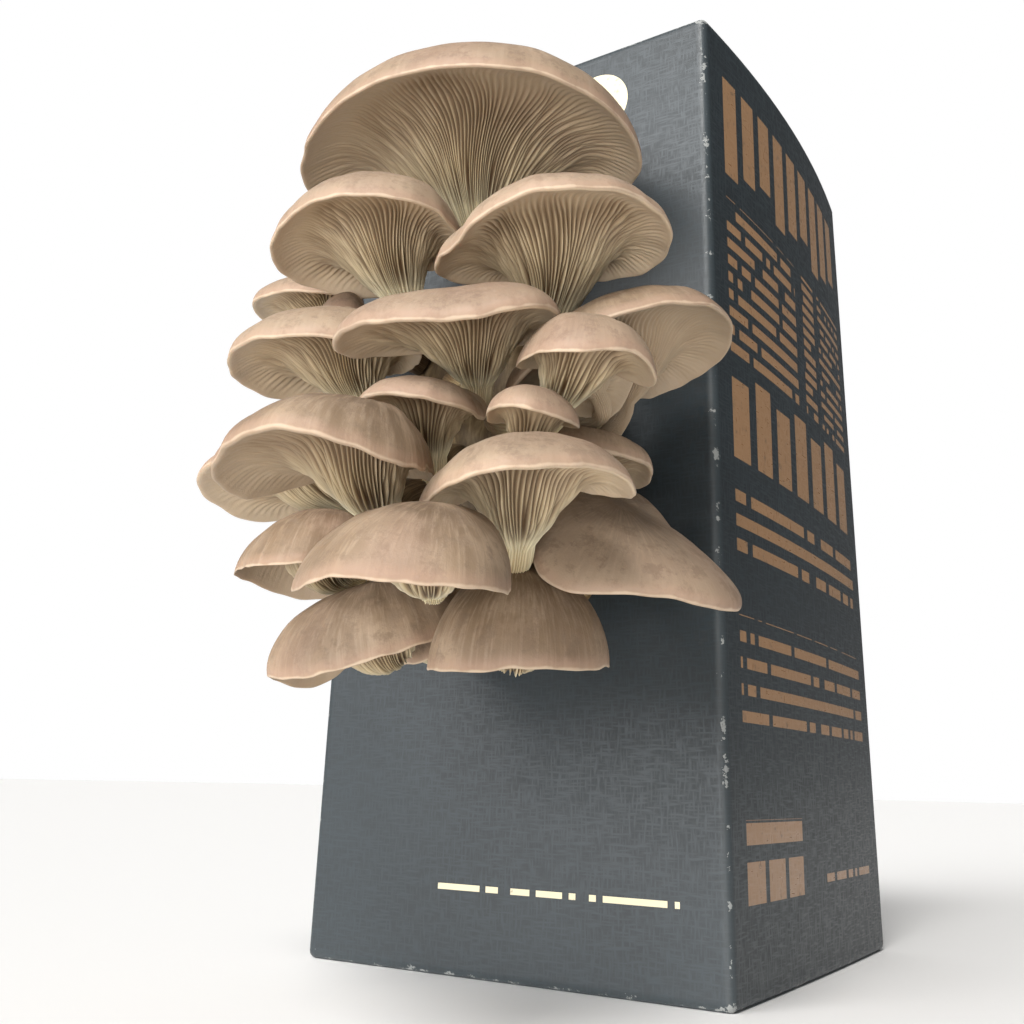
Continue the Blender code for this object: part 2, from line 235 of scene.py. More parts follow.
def cartonSkin():
    material, tree, shader = startMaterial("slateLinenBoard")
    position = objectPlace(tree)
    split = tree.nodes.new("ShaderNodeSeparateXYZ")
    tree.links.new(position, split.inputs[0])
    x, y, z = (calc(tree, "MULTIPLY", split.outputs[k], 1000.0) for k in range(3))  # millimetres
    acrossX = calc(tree, "ABSOLUTE", x)
    acrossY = calc(tree, "ABSOLUTE", y)

    # linen emboss: threads that run level, and threads that run upright
    level = speckle(tree, position, 1000.0, 1.0, 0.5, (0.28, 0.28, 2.3))
    upright = speckle(tree, position, 1000.0, 1.0, 0.5, (2.1, 2.1, 0.3))
    weave = calc(tree, "MAXIMUM", level, upright)
    patches = speckle(tree, position, 28.0, 3.0, 0.6)
    colour = blend(tree, between(tree, weave, 0.42, 0.74), fromSrgb(30, 37, 41), carton["boardColour"])
    colour = blend(tree, between(tree, patches, 0.35, 0.75, 0.0, 0.3), colour, fromSrgb(46, 55, 60))

    def block(u, v, uLow, uHigh, vLow, vHigh):
        across = calc(tree, "COMPARE", u, (uLow + uHigh) / 2.0, (uHigh - uLow) / 2.0)
        along = calc(tree, "COMPARE", v, (vLow + vHigh) / 2.0, (vHigh - vLow) / 2.0)
        return calc(tree, "MULTIPLY", across, along)

    def rows(u, v, uLow, uHigh, vLow, vHigh, pitch, fill, dash, solid):
        # rows of broken bars: pitch from row to row, dash length, and how much of a row is solid
        inside = block(u, v, uLow, uHigh, vLow, vHigh)
        rise = calc(tree, "DIVIDE", calc(tree, "SUBTRACT", v, vLow), pitch)
        bar = calc(tree, "LESS_THAN", calc(tree, "FRACT", rise), fill)
        cells = tree.nodes.new("ShaderNodeTexWhiteNoise")
        cells.noise_dimensions = "2D"
        join = tree.nodes.new("ShaderNodeCombineXYZ")
        tree.links.new(calc(tree, "FLOOR", calc(tree, "DIVIDE", u, dash)), join.inputs[0])
        tree.links.new(calc(tree, "FLOOR", rise), join.inputs[1])
        tree.links.new(join.outputs[0], cells.inputs["Vector"])
        filled = calc(tree, "LESS_THAN", cells.outputs["Value"], solid)
        return calc(tree, "MULTIPLY", calc(tree, "MULTIPLY", inside, bar), filled)

    def gather(masks):
        total = masks[0]
        for mask in masks[1:]:
            total = calc(tree, "MAXIMUM", total, mask)
        return total

    # plain bars and blocks on the right-hand panel
    onSide = calc(tree, "GREATER_THAN", x, 49.2)
    bars = []
    for k in range(9):
        bars.append(block(y, z, -43.0 + 9.6 * k, -36.5 + 9.6 * k, 172.0 + 3.0 * (k % 3), 198.0))
    for k in range(7):
        bars.append(block(y, z, -43.0 + 12.3 * k, -34.5 + 12.3 * k, 104.0, 122.0 + 2.5 * (k % 2)))
    bars.append(rows(y, z, -43.0, -2.0, 128.0, 166.0, 4.2, 0.55, 2.4, 0.82))
    bars.append(rows(y, z, 4.0, 14.0, 128.0, 166.0, 3.1, 0.6, 5.0, 0.9))
    bars.append(rows(y, z, 18.0, 42.0, 128.0, 166.0, 3.1, 0.45, 2.0, 0.8))
    bars.append(rows(y, z, -43.0, 42.0, 84.0, 98.5, 5.2, 0.5, 2.7, 0.84))
    bars.append(rows(y, z, -43.0, 42.0, 50.0, 71.0, 5.2, 0.42, 2.1, 0.84))
    bars.append(rows(y, z, -43.0, -12.0, 27.5, 32.0, 4.4, 0.9, 3.3, 0.88))
    bars += [block(y, z, -43.0 + 11.0 * k, -34.0 + 11.0 * k, 17.0, 24.5) for k in range(3)]
    bars.append(rows(y, z, 2.0, 40.0, 18.5, 21.0, 2.5, 0.7, 1.9, 0.82))
    sidePrint = calc(tree, "MULTIPLY", gather(bars), onSide)

    # plain disc and a broken rule on the front panel
    onFront = calc(tree, "LESS_THAN", y, -50.4)
    discX = calc(tree, "POWER", calc(tree, "SUBTRACT", x, 21.5), 2.0)
    discZ = calc(tree, "POWER", calc(tree, "SUBTRACT", z, 195.0), 2.0)
    disc = calc(tree, "LESS_THAN", calc(tree, "ADD", discX, discZ), 8.5 ** 2)
    rule = rows(x, z, -15.0, 40.0, 16.4, 17.6, 9.0, 0.13, 1.5, 0.8)
    frontPrint = calc(tree, "MULTIPLY", calc(tree, "MAXIMUM", disc, rule), onFront)

    rubbed = between(tree, speckle(tree, position, 420.0, 4.0, 0.7), 0.3, 0.42, 0.55, 1.0)
    colour = blend(tree, calc(tree, "MULTIPLY", sidePrint, rubbed), colour, carton["printColour"])
    colour = blend(tree, calc(tree, "MULTIPLY", frontPrint, rubbed), colour, carton["creamColour"])

    # wear: the lamination is scuffed pale along the folds and at the corners; a smooth lighter band along every fold is
    # a painted highlight
    bow = calc(tree, "SUBTRACT", 1.0, calc(tree, "POWER", calc(tree, "DIVIDE", acrossY, 51.0), 2.0))
    rise = calc(tree, "MULTIPLY_ADD", z, (carton["bowTop"] - carton["bowFoot"]) / carton["height"], carton["bowFoot"])
    edgeX = calc(tree, "MULTIPLY_ADD", bow, rise, 50.0)
    fromX = calc(tree, "ABSOLUTE", calc(tree, "SUBTRACT", edgeX, acrossX))
    fromY = calc(tree, "ABSOLUTE", calc(tree, "SUBTRACT", 51.0, acrossY))
    fromTop = calc(tree, "ABSOLUTE", calc(tree, "SUBTRACT", 210.0, z))
    fromFoot = calc(tree, "ABSOLUTE", z)
    fromEnd = calc(tree, "MINIMUM", fromTop, fromFoot)

    def distance(a, b):
        return calc(tree, "SQRT", calc(tree, "ADD", calc(tree, "MULTIPLY", a, a), calc(tree, "MULTIPLY", b, b)))

    folds = calc(tree, "MINIMUM", distance(fromX, fromY),
                 calc(tree, "MINIMUM", distance(fromX, fromEnd), distance(fromY, fromEnd)))
    corner = distance(distance(fromX, fromY), fromEnd)
    scuffs = speckle(tree, position, 160.0, 5.0, 0.75)
    fine = speckle(tree, position, 900.0, 3.0, 0.7)
    reach = between(tree, scuffs, 0.45, 0.72, 0.35, 1.5)
    worn = calc(tree, "LESS_THAN", folds, calc(tree, "MULTIPLY", reach, between(tree, fine, 0.35, 0.65, 0.5, 1.2)))
    cornerWorn = calc(tree, "LESS_THAN", corner, calc(tree, "MULTIPLY", between(tree, scuffs, 0.3, 0.7, 1.2, 5.5), fine))
    worn = calc(tree, "MAXIMUM", worn, cornerWorn)
    # painted highlight: a smooth lighter band along every fold, not wear
    paintedFoldHighlight = between(tree, folds, 2.4, 0.4, 0.0, 0.35)
    colour = blend(tree, paintedFoldHighlight, colour, fromSrgb(70, 77, 80))
    colour = blend(tree, calc(tree, "MULTIPLY", worn, 0.75), colour, carton["wornColour"])
    tree.links.new(colour, shader.inputs["Base Color"])

    rough = between(tree, weave, 0.35, 0.75, carton["roughness"] + 0.13, carton["roughness"] - 0.05)
    rough = calc(tree, "ADD", rough, calc(tree, "MULTIPLY", worn, 0.25))
    rough = calc(tree, "SUBTRACT", rough, calc(tree, "MULTIPLY", sidePrint, 0.1))
    tree.links.new(rough, shader.inputs["Roughness"])
    seams = between(tree, calc(tree, "ABSOLUTE", calc(tree, "ADD", calc(tree, "MULTIPLY", acrossX, 0.62), calc(
        tree, "SUBTRACT", acrossY, 31.0))), 0.15, 0.45)
    seams = calc(tree, "MAXIMUM", seams, calc(tree, "GREATER_THAN", fromFoot, 0.4))  # flaps show underneath only
    tall = calc(tree, "ADD", weave, calc(tree, "MULTIPLY", seams, 8.0))
    tree.links.new(bump(tree, tall, carton["grain"] * mm, 0.9), shader.inputs["Normal"])
    shader.inputs["Specular IOR Level"].default_value = 0.6
    return material


def rawBoard(name, light, dark):
    material, tree, shader = startMaterial(name, 0.85)
    position = objectPlace(tree)
    layers = speckle(tree, position, 900.0, 3.0, 0.6, (0.4, 4.0, 0.4))
    fibres = speckle(tree, position, 350.0, 4.0, 0.7)
    colour = blend(tree, between(tree, layers, 0.4, 0.65), dark, light)
    colour = blend(tree, between(tree, fibres, 0.5, 0.8, 0.0, 0.5), colour, tuple(v * 0.7 for v in dark))
    tree.links.new(colour, shader.inputs["Base Color"])
    tree.links.new(bump(tree, fibres, 0.04 * mm, 0.6), shader.inputs["Normal"])
    return material


def makeCarton():
    skin = cartonSkin()
    core = rawBoard("greyBoardCore", fromSrgb(176, 166, 150), fromSrgb(132, 124, 112))
    liner = rawBoard("greyBoardLiner", fromSrgb(150, 143, 132), fromSrgb(116, 110, 102))
    board = carton["board"]
    outside = bowedBox(carton["width"], carton["depth"], 0.0, carton["height"], carton["rounding"], 6.0)
    inside = bowedBox(carton["width"] - 2 * board, carton["depth"] - 2 * board, board, carton["height"] - board, 0.0, 12.0)
    mesh = subtract(outside, [inside, windowPlug()], "cartonShell")
    addPiece("cartonShell", mesh, [skin, core, liner], ["carton"], 50.0)
    front = -carton["depth"] / 2.0
    for face in mesh.polygons:
        centre = face.center / mm
        inFront = front + 0.05 < centre.y < front + board - 0.05 and abs(centre.x) < 40.0
        if inFront and carton["windowFoot"] - 1 < centre.z < carton["windowHead"] + 1:
            face.material_index = 1
        elif face.normal.dot(Vector((centre.x, centre.y, (centre.z - 105.0) * 0.49))) < 0.0:
            face.material_index = 2

    # lid: the closing flap, which on the carton is hinged on the back panel and tucked in behind the front one; here it
    # is a thin flat plate lying in the top opening
    bm = bmesh.new()
    bmesh.ops.create_cube(bm, size=1.0)
    bmesh.ops.scale(bm, vec=Vector((94.0, 98.2, 0.7)) * mm, verts=bm.verts)
    bmesh.ops.translate(bm, vec=Vector((0.0, 0.4, 210.05)) * mm, verts=bm.verts)
    bmesh.ops.bevel(bm, geom=bm.edges[:], offset=0.25 * mm, segments=2, profile=0.5, affect="EDGES", material=-1)
    lid = meshFrom(bm, "cartonLid")
    addPiece("cartonLid", lid, [skin], ["carton"], 50.0)


makeCarton()
print("carton done")


# the bag of substrate, a little crumpled
bag = {"gap": 1.9, "height": 176.0, "rounding": 9.0, "baseGap": 0.4, "crumple": 1.3}


def bagFilm():
    material, tree, shader = startMaterial("filmOverSubstrate", 0.28)
    position = objectPlace(tree)
    straw = speckle(tree, position, 160.0, 6.0, 0.65, (1.0, 1.0, 3.0), 0.8)
    white = speckle(tree, position, 45.0, 4.0, 0.6)
    colour = ramp(tree, straw, ((0.3, fromSrgb(96, 72, 46)), (0.48, fromSrgb(168, 138, 96)), (0.7, fromSrgb(214, 196, 158))))
    colour = blend(tree, between(tree, white, 0.42, 0.62), colour, fromSrgb(232, 226, 210))
    tree.links.new(colour, shader.inputs["Base Color"])
    folds = speckle(tree, position, 60.0, 4.0, 0.55, (1.0, 1.0, 0.5), 1.5)
    tree.links.new(bump(tree, folds, 0.5 * mm, 0.8), shader.inputs["Normal"])
    shader.inputs["Coat Weight"].default_value = 0.6
    shader.inputs["Coat Roughness"].default_value = 0.15
    return material


def makeBag():
    width = carton["width"] - 2 * (carton["board"] + bag["gap"])
    depth = carton["depth"] - 2 * (carton["board"] + bag["gap"])
    foot = carton["board"] + bag["baseGap"]
    bm = bmesh.new()
    bmesh.ops.create_cube(bm, size=1.0)
    bmesh.ops.scale(bm, vec=Vector((width, depth, bag["height"])) * mm, verts=bm.verts)
    bmesh.ops.translate(bm, vec=(0.0, 0.0, (foot + bag["height"] / 2.0) * mm), verts=bm.verts)
    bmesh.ops.bevel(
        bm, geom=bm.edges[:], offset=bag["rounding"] * mm, segments=5, profile=0.5, affect="EDGES", material=-1)
    long = [edge for edge in bm.edges if edge.calc_length() > 20.0 * mm]
    bmesh.ops.subdivide_edges(bm, edges=long, cuts=30, use_grid_fill=True)
    bm.normal_update()
    centre = Vector((0.0, 0.0, (foot + bag["height"] / 2.0) * mm))
    for vert in bm.verts:
        p = vert.co / mm
        crease = math.sin(p.z * 0.21 + 1.7 * math.sin(p.x * 0.11 + p.y * 0.07)) * math.sin(p.x * 0.17 - p.y * 0.13)
        crease += 0.5 * math.sin(p.z * 0.53 + p.x * 0.31 + 2.0 * math.sin(p.y * 0.2))
        if p.z > foot + 3.0:
            vert.co += (centre - vert.co).normalized() * mm * bag["crumple"] * max(0.0, 0.5 + 0.5 * crease)
    addPiece("substrateBag", meshFrom(bm, "substrateBag"), [bagFilm()], ["grow_bag"])


makeBag()
print("bag done")


# the base that all the stems share
clump = {
    "back": -48.2, "centre": Vector((1.0, -60.0, 106.0)), "radii": Vector((26.0, 16.0, 39.0)),
    "clearance": 0.5, "lumps": 1.6,
}


def clumpFleshAndShade():
    material, tree, shader = startMaterial("clumpFleshAndShade", 0.6)
    position = objectPlace(tree)
    fibres = speckle(tree, position, 420.0, 5.0, 0.65, (1.0, 0.5, 0.25), 0.4)
    patches = speckle(tree, position, 90.0, 4.0, 0.6)
    # painted shade: the flesh colours are darkened all over because the base lies deep in the cluster's shade
    colour = ramp(tree, fibres, ((0.3, fromSrgb(66, 50, 34)), (0.5, fromSrgb(112, 92, 62)), (0.7, fromSrgb(156, 134, 98))))
    colour = blend(tree, between(tree, patches, 0.45, 0.7, 0.0, 0.6), colour, fromSrgb(84, 66, 44))
    tree.links.new(colour, shader.inputs["Base Color"])
    tree.links.new(bump(tree, fibres, 0.25 * mm, 0.8), shader.inputs["Normal"])
    return material


def makeClump():
    bm = bmesh.new()
    bmesh.ops.create_uvsphere(bm, u_segments=120, v_segments=80, radius=1.0)
    for vert in bm.verts:
        d = vert.co.copy()
        lump = math.sin(9 * d.x + 4 * d.z) * math.sin(8 * d.z - 3 * d.x + 5 * d.y) + 0.5 * math.sin(23 * d.z + 9 * d.x)
        shrink = mm * clump["lumps"] * (0.5 - 0.35 * lump)
        vert.co = clump["centre"] * mm + Vector(d[k] * clump["radii"][k] * mm for k in range(3)) - d * shrink
    geometry = bm.verts[:] + bm.edges[:] + bm.faces[:]
    result = bmesh.ops.bisect_plane(
        bm, geom=geometry, dist=1e-6, plane_co=(0.0, clump["back"] * mm, 0.0), plane_no=(0.0, 1.0, 0.0),
        clear_outer=True)
    rim = [piece for piece in result["geom_cut"] if isinstance(piece, bmesh.types.BMEdge)]
    bmesh.ops.edgeloop_fill(bm, edges=rim)
    addPiece("clumpBase", meshFrom(bm, "clumpBase"), [clumpFleshAndShade()], ["clump_base"], 60.0)


makeClump()
print("clump done")


# the mushrooms: rings run from the top of the cap round the rim, along the gills and down the stem
gills = {
    "spacing": 1.2,         # millimetres from gill to gill at the rim
    "thickness": 0.22, "depth": 1.7, "plainMargin": 1.5, "rise": 0.5,
    "flare": 3.0, "hoodedFlare": 6.0, "vault": 0.3, "hoodedVault": 0.6, "turn": 0.45, "lip": 1.0, "lipReach": 0.8,
    "topRings": 18, "lipRings": 5, "underRings": 32, "stemRings": 12,
    "domeSpread": 2.3, "domeEdge": 0.55, "stemBend": 0.35,
}

# hub: middle of the gills, level with the rim; face, tilt, lean: how the cap is turned, dips forward and
# dips to its right; reach and lift: rim radius and height every 45 degrees from the front round by the
# right; drop: depth of the gills' funnel; root: x and z where the stem leaves the clump; slant: only for
# caps that hang over their stems; bend: share of the stem that keeps its first direction; plainTo: where
# along the gills a smooth underside stops to change; tone: 0 pale and pinkish, 1 dark and brown
mushrooms = {
    "mushroom_top": dict(
        hub=(3, -74, 168), face=16, tilt=-1, lean=3, dome=19, drop=15, stem=4.5, root=(6, 139),
        reach=(40, 41, 38, 23, 14, 25, 39, 38), lift=(-1, 1, -1, -1, 0, -1, -2, -3), tone=0.5),
    "mushroom_upper_left": dict(
        hub=(-3, -94, 142), face=4, tilt=-1, lean=-2, dome=12, drop=11, stem=3.5, root=(-4, 130),
        reach=(24, 23, 17, 13, 8, 17, 25, 24), lift=(-1, -2, -2, -1, -1, -2, -1, -2), tone=0.15),
    "mushroom_upper_right": dict(
        hub=(33, -88, 135), face=21, tilt=3, lean=-5, dome=9, drop=13, stem=4, root=(15, 130),
        reach=(27, 25, 22, 16, 11, 15, 23, 23), lift=(-1, 0, -2, -2, 0, 0, -1, -3), tone=0.1),
    "mushroom_far_left": dict(
        hub=(-40, -75, 145), face=1, tilt=4, lean=-1, dome=7, drop=7, stem=3, root=(-12, 127),
        reach=(15, 15, 12, 9, 7, 10, 16, 16), lift=(-1, -2, -1, 0, 0, 0, 0, 0), tone=0.3),
    "mushroom_middle_left": dict(
        hub=(-11, -94, 118), face=-8, tilt=3, lean=1, dome=10, drop=8, stem=3.5, root=(-11, 106),
        reach=(24, 22, 18, 12, 8, 14, 25, 25), lift=(-1, -2, 0, 0, 0, 0, -2, -1), tone=0.15),
    "mushroom_arched": dict(
        hub=(-23, -84, 132), face=-1, tilt=-2, lean=-4, dome=8, drop=5, stem=2.5, root=(-15, 116),
        reach=(8, 9, 7, 5, 5, 6, 10, 7), lift=(0, 1, -1, 0, 0, 0, 0, 0), tone=0.2),
    "mushroom_centre": dict(
        hub=(26, -103, 113), face=22, tilt=12, lean=-4, dome=8, drop=9, stem=3, root=(4, 116),
        reach=(21, 20, 15, 12, 8, 14, 25, 24), lift=(-1, 1, 0, 0, 0, 1, 0, 1), tone=0.2),
    "mushroom_right_wing": dict(
        hub=(40, -71, 117), face=20, tilt=-1, lean=-18, dome=10, drop=8, stem=2, root=(25, 100),
        reach=(26, 24, 20, 14, 9, 10, 24, 26), lift=(-2, -2, -3, -4, -4, -1, -1, -3), plainTo=1.35, tone=0.9),
    "mushroom_right_inner": dict(
        hub=(40, -85, 107), face=45, tilt=-34, lean=-30, dome=4, drop=1.5, stem=1.6, root=(23, 107),
        reach=(13, 12, 10, 8, 6, 6, 10, 13), lift=(0, 1, 0, -2, -1, -1, 0, 0), slant=0.6, plainTo=1.3, tone=0.5),
    "mushroom_centre_right": dict(
        hub=(45, -102, 105), face=28, tilt=6, lean=8, dome=8, drop=8, stem=3, root=(13, 107),
        reach=(14, 15, 14, 9, 6, 8, 9, 10), lift=(-2, 0, -2, 1, 0, 0, -2, -2), tone=0.25),
    "mushroom_small_centre": dict(
        hub=(20, -107, 99), face=6, tilt=3, lean=8, dome=5, drop=9, stem=2.5, root=(4, 101),
        reach=(15, 13, 10, 9, 6, 9, 14, 13), lift=(-1, -1, -1, 2, 0, 0, 0, -1), tone=0.15),
    "mushroom_small_right": dict(
        hub=(41, -108, 94), face=20, tilt=8, lean=6, dome=5, drop=6, stem=2.5, root=(12, 97),
        reach=(10, 9, 8, 6, 5, 6, 7, 8), lift=(0, -1, -1, 0, 0, 0, -1, 0), tone=0.2),
    "mushroom_large_left": dict(
        hub=(22, -124, 85), face=-42, tilt=2, lean=5, dome=9, drop=10, stem=3.5, root=(-6, 94),
        reach=(24, 22, 17, 10, 8, 16, 27, 25), lift=(-2, 1, -3, -2, 0, 0, 3, -4), tone=0.9),
    "mushroom_under_left": dict(
        hub=(-22, -86, 97), face=-6, tilt=-2, lean=-8, dome=7, drop=7, stem=3, root=(-15, 96),
        reach=(23, 22, 16, 10, 8, 13, 24, 27), lift=(0, 0, 0, 0, 0, 1, -2, 0), tone=0.3),
    "mushroom_large_centre": dict(
        hub=(41, -111, 82), face=19, tilt=5, lean=-3, dome=7, drop=11, stem=3, root=(11, 87),
        reach=(21, 20, 18, 12, 8, 13, 16, 16), lift=(-2, -1, -3, 0, 2, 1, -3, -3), tone=0.2),
    "mushroom_small_side": dict(
        hub=(33, -75, 96), face=38, tilt=2, lean=11, dome=6, drop=6, stem=2.5, root=(21, 97),
        reach=(15, 14, 12, 9, 7, 9, 12, 14), lift=(-1, 0, -1, -1, 0, 0, 0, 0), tone=0.6),
    # painted light: right_low's pale tone brightens a cap that sits in the shade of the caps above it
    "mushroom_right_low": dict(
        hub=(40, -81, 80), face=57, tilt=39, lean=7, dome=7, drop=9, stem=3.5, root=(17, 86),
        reach=(24, 27, 22, 17, 11, 13, 15, 22), lift=(2, 1, -3, 3, 2, 0, 0, -4), slant=1.8, tone=0.1),
    "mushroom_far_low_left": dict(
        hub=(-15, -92, 76), face=-31, tilt=-3, lean=-1, dome=12, drop=5, stem=2.2, root=(-13, 86),
        reach=(17, 19, 16, 10, 8, 12, 19, 19), lift=(-2, -3, -1, 0, 0, -1, -2, -1), slant=1.5, bend=0.12, tone=1.0),
    "mushroom_low_left": dict(
        hub=(36, -126, 66), face=6, tilt=9, lean=9, dome=10, drop=4, stem=2, root=(6, 88),
        reach=(20, 19, 13, 10, 8, 12, 19, 19), lift=(-1, -1, -1, 3, 4, 1, -2, -4), slant=1.2, bend=0.12, tone=0.8),
    "mushroom_bottom_left": dict(
        hub=(0, -89, 61), face=1, tilt=13, lean=-9, dome=13, drop=1, stem=1.8, root=(-7, 77),
        reach=(21, 20, 18, 11, 8, 11, 19, 23), lift=(-2, -1, 1, 5, 6, 4, -3, 0), slant=1.8, bend=0.2, tone=0.8),
    "mushroom_bottom_right": dict(
        hub=(29, -92, 59), face=37, tilt=18, lean=0, dome=15, drop=4, stem=1.8, root=(10, 78),
        reach=(18, 17, 15, 11, 7, 11, 14, 18), lift=(1, 0, -1, 3, 4, 2, -2, -1), slant=1.8, bend=0.2, tone=1.0),
    "mushroom_bottom_small": dict(
        hub=(-9, -68, 64), face=-6, tilt=30, lean=-6, dome=4, drop=7, stem=1.8, root=(1, 75),
        reach=(8, 8, 7, 6, 5, 6, 7, 8), lift=(0, -1, 0, 0, 0, 0, 1, 1), slant=0.8, tone=0.4),
}


def ease(low, high, value):
    t = np.clip((value - low) / (high - low), 0.0, 1.0)
    return t * t * (3.0 - 2.0 * t)


def unit(vectors):
    return vectors / np.maximum(np.linalg.norm(vectors, axis=-1, keepdims=True), 1e-9)


def turnAbout(axis, angle, vector):
    sine, cosine = np.sin(angle)[:, None], np.cos(angle)[:, None]
    return vector * cosine + np.cross(axis, vector) * sine + axis * (vector @ axis) * (1.0 - cosine)


def swing(before, after, vectors):
    # the shortest turn that brings one direction onto another
    axis = np.cross(before, after)
    once = np.cross(axis, vectors)
    return vectors + once + np.cross(axis, once) / (1.0 + after @ before)[:, None]


def roundTheRim(values, angle):
    values = np.asarray(values, float)
    count = len(values)
    along = (angle / math.tau) % 1.0 * count
    first = np.floor(along).astype(int)
    t = along - first
    p0, p1, p2, p3 = (values[(first + step) % count] for step in (-1, 0, 1, 2))
    bend = (p2 - p0) * t + (2 * p0 - 5 * p1 + 4 * p2 - p3) * t * t + (3 * p1 - p0 - 3 * p2 + p3) * t ** 3
    return p1 + 0.5 * bend


def capSetting(spec, chance):
    # the cap's axes, the direction in which the gills gather, and the stem's curve to its root
    turn, dip, roll = (math.radians(spec[key]) for key in ("face", "tilt", "lean"))
    level = Vector((math.sin(turn), -math.cos(turn), 0.0))
    right = Vector((math.cos(turn), math.sin(turn), 0.0))
    up = Vector((0.0, 0.0, 1.0))
    front = level * math.cos(dip) - up * math.sin(dip)
    up = up * math.cos(dip) + level * math.sin(dip)
    leaned = right * math.cos(roll) - up * math.sin(roll)
    up = up * math.cos(roll) + right * math.sin(roll)
    radii = clump["radii"] + Vector((1.0, 1.0, 1.0)) * clump["clearance"]
    across = (spec["root"][0] - clump["centre"].x) / radii.x
    rise = (spec["root"][1] - clump["centre"].z) / radii.z
    out = math.sqrt(max(1.0 - across * across - rise * rise, 0.02))
    foot = Vector((spec["root"][0], clump["centre"].y - radii.y * out, spec["root"][1]))
    outward = Vector((across / radii.x, -out / radii.y, rise / radii.z)).normalized()
    hub = Vector(spec["hub"])
    heading = ((foot - hub).normalized() * spec.get("slant", 1.0) - up).normalized()
    neck = hub + heading * spec["drop"]
    bend = (foot - neck).length * spec.get("bend", gills["stemBend"])
    size = sum(spec["reach"]) / 8.0
    waves = [(k, chance.uniform(0.0, math.tau), chance.uniform(0.3, 1.0) * size / 25.0) for k in (5, 7, 11, 16, 23)]
    return {
        "spec": spec, "size": size, "hub": np.array(hub), "front": np.array(front), "right": np.array(leaned),
        "up": np.array(up), "heading": np.array(heading), "waves": waves,
        "axis": np.array(up.cross(-heading).normalized()), "turn": up.angle(-heading),
        "vault": 0.8 * spec["dome"] * gills["hoodedVault" if "slant" in spec else "vault"],
        "flare": gills["hoodedFlare" if "slant" in spec else "flare"],
        "curve": [np.array(point) for point in (neck, neck + heading * bend, foot + outward * bend, foot)],
        "dents": [(chance.uniform(1.5, 5.0), chance.uniform(0.0, math.tau), chance.uniform(0.0, 6.0)) for _ in range(5)],
    }


def rimAt(cap, angle):
    reach = roundTheRim(cap["spec"]["reach"], angle)
    lift = roundTheRim(cap["spec"]["lift"], angle)
    for count, phase, size in cap["waves"]:
        wave = np.sin(count * angle + phase) * size / math.sqrt(count)
        reach = reach + 0.45 * wave
        lift = lift + 0.55 * np.sin(count * angle + phase * 1.7) * size / math.sqrt(count)
    return reach, lift


def onTop(cap, share, angle):
    reach, lift = rimAt(cap, angle)
    dome = cap["spec"]["dome"]
    height = lift * share ** 2 + dome * np.maximum(1.0 - share ** gills["domeSpread"], 0.0) ** gills["domeEdge"]
    for pace, phase, turnPhase in cap["dents"]:
        height = height + 0.16 * np.sin(pace * 2.2 * share * 2.0 + phase) * np.cos(round(pace) * angle + turnPhase) * (
            1.0 - share ** 6) * share * cap["size"] / 20.0
    radius = (reach * share)[:, None]
    return (cap["hub"] + cap["front"] * radius * np.cos(angle)[:, None]
            + cap["right"] * radius * np.sin(angle)[:, None] + cap["up"] * height[:, None])


def alongGills(cap, share, angle):
    # share runs from 0 at the rim to 1 where the gills have become the stem
    reach, lift = rimAt(cap, angle)
    stem = cap["spec"]["stem"]
    radius = stem + (reach - stem) * (1.0 - share)
    centre = cap["hub"] + cap["heading"] * (cap["spec"]["drop"] * share ** cap["flare"])[:, None]
    turning = cap["turn"] * ease(gills["turn"], 1.0, share)
    front, right, up = (turnAbout(cap["axis"], turning, cap[key]) for key in ("front", "right", "up"))
    inward = np.clip(share * (cap["size"] - stem) / gills["lipReach"], 0.0, 1.0)
    lip = gills["lip"] * np.sqrt(np.maximum(1.0 - (1.0 - inward) ** 2, 0.0)) * (1.0 - share)
    vault = cap["vault"] * 6.75 * share * (1.0 - share) ** 2
    height = lift * (1.0 - share) ** 2 + vault - lip
    return (centre + front * (radius * np.cos(angle))[:, None] + right * (radius * np.sin(angle))[:, None]
            + up * height[:, None])


def alongStem(cap, share, angle):
    a, b, c, d = cap["curve"]
    t = share[:, None]
    s = 1.0 - t
    centre = a * s ** 3 + b * (3 * s * s * t) + c * (3 * s * t * t) + d * t ** 3
    heading = unit((b - a) * (3 * s * s) + (c - b) * (6 * s * t) + (d - c) * (3 * t * t))
    whole = np.full(len(share), cap["turn"])
    front, right = (swing(cap["heading"], heading, turnAbout(cap["axis"], whole, cap[key])) for key in ("front", "right"))
    radius = cap["spec"]["stem"] * (1.0 + 0.10 * np.sin(3.0 * share + 2.0 * np.cos(angle)) * share)
    point = centre + front * (radius * np.cos(angle))[:, None] + right * (radius * np.sin(angle))[:, None]
    return point + heading * (ease(0.85, 1.0, share) * 1.0)[:, None]  # the foot sinks a little into the clump


def surfaceAt(cap, path, angle):
    # path: 0 to 1 over the top, 1 to 2 from the rim along the gills, 2 to 3 down the stem
    points = np.empty((len(path), 3))
    top, stem = path <= 1.0, path > 2.0
    under = ~top & ~stem
    points[top] = onTop(cap, path[top], angle[top])
    points[under] = alongGills(cap, path[under] - 1.0, angle[under])
    points[stem] = alongStem(cap, path[stem] - 2.0, angle[stem])
    return points


def ringPaths(cap):
    span = cap["size"] - cap["spec"]["stem"]
    lipShare = gills["lipReach"] / span
    paths = []
    for k in range(1, gills["topRings"] + 1):
        level = math.cos(math.pi / 2.0 * k / gills["topRings"])
        paths.append((1.0 - level ** (1.0 / gills["domeEdge"])) ** (1.0 / gills["domeSpread"]))
    paths += [1.0 + lipShare * (1.0 - math.cos(math.pi / 2.0 * k / gills["lipRings"])) for k in range(1, gills["lipRings"] + 1)]
    paths += [1.0 + lipShare + (1.0 - lipShare) * k / gills["underRings"] for k in range(1, gills["underRings"] + 1)]
    paths += [2.0 + k / gills["stemRings"] for k in range(1, gills["stemRings"] + 1)]
    return paths


